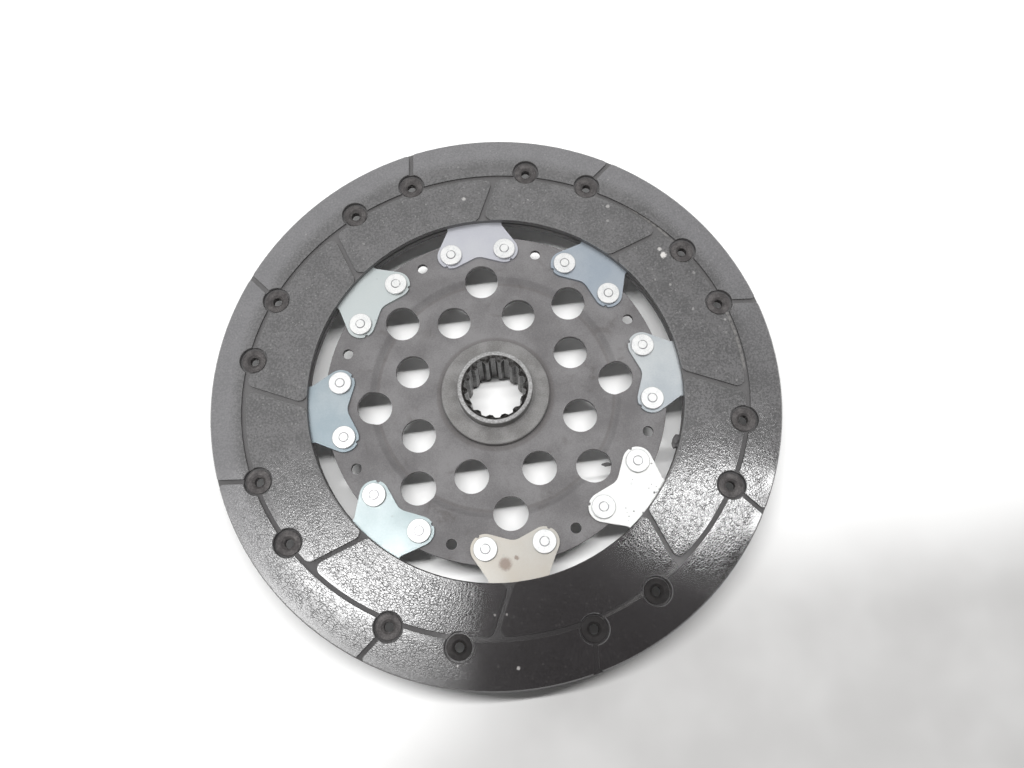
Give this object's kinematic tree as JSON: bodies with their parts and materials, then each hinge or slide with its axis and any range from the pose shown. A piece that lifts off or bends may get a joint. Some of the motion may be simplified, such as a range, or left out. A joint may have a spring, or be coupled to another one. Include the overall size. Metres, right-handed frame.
{
  "type": "clutch disc",
  "caption": "Clutch disc with a rigid centre: two grooved friction rings riveted to sprung steel segments on a dished plate, with a splined hub.",
  "frame": {"origin": "on the hub axis, in the plane of the hub's lower end face, on which the disc stands", "axes": "+Z along the hub axis towards the boss side; +Y through the middle of cushion segment 1"},
  "size_m": [0.24, 0.24, 0.028],
  "materials": {
    "hub_steel": "turned steel, oiled",
    "plate_steel": "phosphated pressed steel, satin",
    "facing": "moulded friction lining, worn smooth",
    "segment_steel": "zinc-plated spring steel",
    "rivet_steel": "bright pressed rivet heads",
    "facing_rivet_steel": "dulled steel, dusty"
  },
  "bodies": {
    "root": {"hub": "hub_steel", "drive_plate": "plate_steel", "friction_facing_upper": "facing", "friction_facing_lower": "facing", "cushion_segment_upper_1": "segment_steel", "cushion_segment_upper_2": "segment_steel", "cushion_segment_upper_3": "segment_steel", "cushion_segment_upper_4": "segment_steel", "cushion_segment_upper_5": "segment_steel", "cushion_segment_upper_6": "segment_steel", "cushion_segment_upper_7": "segment_steel", "cushion_segment_upper_8": "segment_steel", "cushion_segment_lower_1": "segment_steel", "cushion_segment_lower_2": "segment_steel", "cushion_segment_lower_3": "segment_steel", "cushion_segment_lower_4": "segment_steel", "cushion_segment_lower_5": "segment_steel", "cushion_segment_lower_6": "segment_steel", "cushion_segment_lower_7": "segment_steel", "cushion_segment_lower_8": "segment_steel", "segment_rivet_1": "rivet_steel", "segment_rivet_2": "rivet_steel", "segment_rivet_3": "rivet_steel", "segment_rivet_4": "rivet_steel", "segment_rivet_5": "rivet_steel", "segment_rivet_6": "rivet_steel", "segment_rivet_7": "rivet_steel", "segment_rivet_8": "rivet_steel", "segment_rivet_9": "rivet_steel", "segment_rivet_10": "rivet_steel", "segment_rivet_11": "rivet_steel", "segment_rivet_12": "rivet_steel", "segment_rivet_13": "rivet_steel", "segment_rivet_14": "rivet_steel", "segment_rivet_15": "rivet_steel", "segment_rivet_16": "rivet_steel", "facing_rivet_1": "facing_rivet_steel", "facing_rivet_2": "facing_rivet_steel", "facing_rivet_3": "facing_rivet_steel", "facing_rivet_4": "facing_rivet_steel", "facing_rivet_5": "facing_rivet_steel", "facing_rivet_6": "facing_rivet_steel", "facing_rivet_7": "facing_rivet_steel", "facing_rivet_8": "facing_rivet_steel", "facing_rivet_9": "facing_rivet_steel", "facing_rivet_10": "facing_rivet_steel", "facing_rivet_11": "facing_rivet_steel", "facing_rivet_12": "facing_rivet_steel", "facing_rivet_13": "facing_rivet_steel", "facing_rivet_14": "facing_rivet_steel", "facing_rivet_15": "facing_rivet_steel", "facing_rivet_16": "facing_rivet_steel"}
  },
  "joints": []
}
